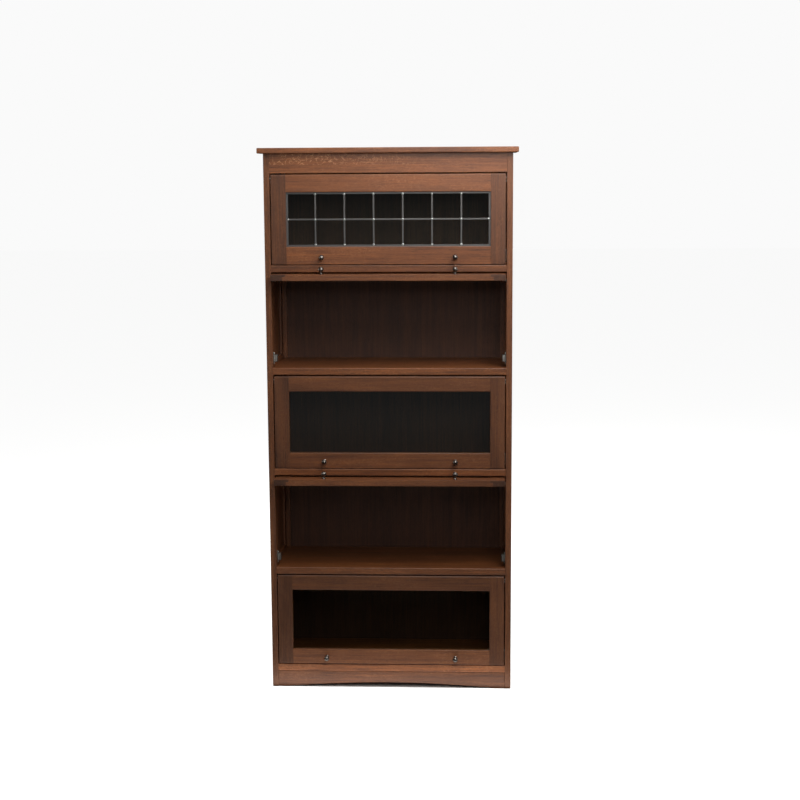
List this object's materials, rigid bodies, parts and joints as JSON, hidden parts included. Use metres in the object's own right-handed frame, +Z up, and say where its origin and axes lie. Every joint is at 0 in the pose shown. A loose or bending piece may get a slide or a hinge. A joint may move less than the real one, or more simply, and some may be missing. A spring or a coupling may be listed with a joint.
{
  "type": "barrister bookcase",
  "caption": "Tall mission-style oak bookcase with stacked glazed doors that swing up and slide back; leaded glass in the top door.",
  "frame": {"origin": "on the floor, in the middle of the footprint taken up by the case and its two pushed-in doors", "axes": "+Z up, +X to the right as seen from the front, +Y from front to back"},
  "size_m": [0.902, 0.376, 1.936],
  "materials": {
    "stained_oak": "dark stained, satin lacquer",
    "oak_plywood": "dark stained, matt",
    "clear_glass": "clear float glass",
    "zinc_came": "dull zinc",
    "bronze_knob": "oil-rubbed bronze",
    "steel": "zinc plated"
  },
  "bodies": {
    "case": {"top_board": "stained_oak", "header_rail": "stained_oak", "bottom_shelf": "stained_oak", "toe_rail": "stained_oak", "back_toe_rail": "stained_oak", "top_cleats": "stained_oak", "back_panel": "oak_plywood", "back_screws": "steel", "corner_battens": "stained_oak", "support_pins": "steel", "catch_bodies": "steel", "catch_screws": "steel", "shelf_1": "stained_oak", "shelf_2": "stained_oak", "shelf_3": "stained_oak", "shelf_4": "stained_oak", "left_front_stile": "stained_oak", "left_back_stile": "stained_oak", "left_rails": "stained_oak", "left_panels": "stained_oak", "right_front_stile": "stained_oak", "right_back_stile": "stained_oak", "right_rails": "stained_oak", "right_panels": "stained_oak"},
    "door_1": {"door_1_stiles": "stained_oak", "door_1_rails": "stained_oak", "door_1_glass": "clear_glass", "door_1_stops": "stained_oak", "door_1_knobs": "bronze_knob", "door_1_pivot_pins": "steel", "door_1_strikes": "steel", "door_1_came": "zinc_came"},
    "door_2": {"door_2_stiles": "stained_oak", "door_2_rails": "stained_oak", "door_2_glass": "clear_glass", "door_2_stops": "stained_oak", "door_2_knobs": "bronze_knob", "door_2_pivot_pins": "steel", "door_2_strikes": "steel"},
    "door_3": {"door_3_stiles": "stained_oak", "door_3_rails": "stained_oak", "door_3_glass": "clear_glass", "door_3_stops": "stained_oak", "door_3_knobs": "bronze_knob", "door_3_pivot_pins": "steel", "door_3_strikes": "steel"},
    "door_4": {"door_4_stiles": "stained_oak", "door_4_rails": "stained_oak", "door_4_glass": "clear_glass", "door_4_stops": "stained_oak", "door_4_knobs": "bronze_knob", "door_4_pivot_pins": "steel", "door_4_strikes": "steel"},
    "door_5": {"door_5_stiles": "stained_oak", "door_5_rails": "stained_oak", "door_5_glass": "clear_glass", "door_5_stops": "stained_oak", "door_5_knobs": "bronze_knob", "door_5_pivot_pins": "steel", "door_5_strikes": "steel"}
  },
  "joints": [
    {"name": "door_1_swing", "type": "hinge", "parent": "case", "child": "door_1", "pos_m": [0, -0.1185, 1.8315], "axis": [-1, 0, 0], "range_deg": [0, 90]},
    {"name": "door_2_pull", "type": "slide", "parent": "case", "child": "door_2", "axis": [0, -1, 0], "range_m": [-0.02, 0.246]},
    {"name": "door_3_swing", "type": "hinge", "parent": "case", "child": "door_3", "pos_m": [0, -0.1185, 1.1265], "axis": [-1, 0, 0], "range_deg": [0, 90]},
    {"name": "door_4_pull", "type": "slide", "parent": "case", "child": "door_4", "axis": [0, -1, 0], "range_m": [-0.02, 0.246]},
    {"name": "door_5_swing", "type": "hinge", "parent": "case", "child": "door_5", "pos_m": [0, -0.1185, 0.4035], "axis": [-1, 0, 0], "range_deg": [0, 90]}
  ]
}
